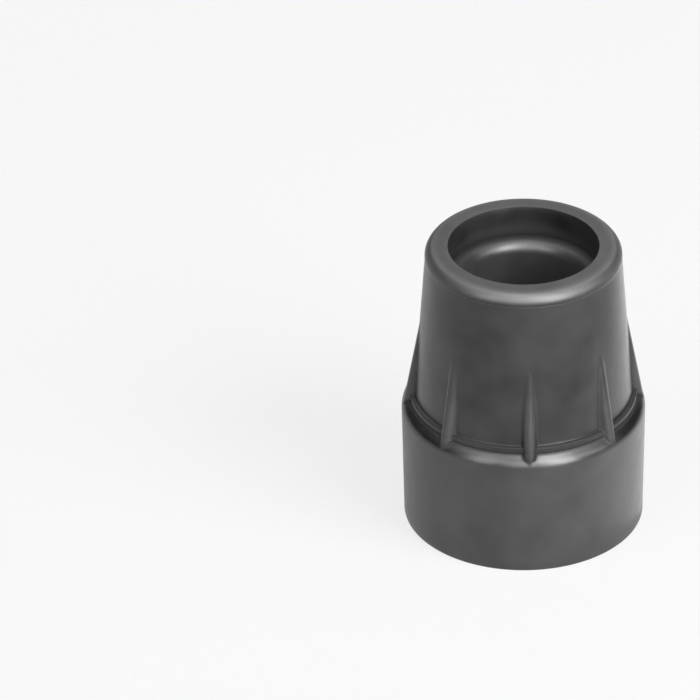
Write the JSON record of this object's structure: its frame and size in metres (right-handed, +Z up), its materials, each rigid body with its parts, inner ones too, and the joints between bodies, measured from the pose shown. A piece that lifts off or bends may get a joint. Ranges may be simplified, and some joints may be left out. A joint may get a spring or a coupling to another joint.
{
  "type": "rubber cane tip",
  "caption": "Moulded rubber tip for a walking stick: ribbed tapered sleeve with a stepped blind socket, sloped shoulder, thick collar and dished, ringed tread.",
  "frame": {"origin": "centre of the tread, level with the ground it stands on", "axes": "+Z up along the shaft's axis and out of the socket's mouth, +X through one of the ribs"},
  "size_m": [0.039, 0.039, 0.049],
  "materials": {
    "rubber": "satin black moulded rubber"
  },
  "bodies": {
    "root": {"cane_tip": "rubber"}
  },
  "joints": []
}
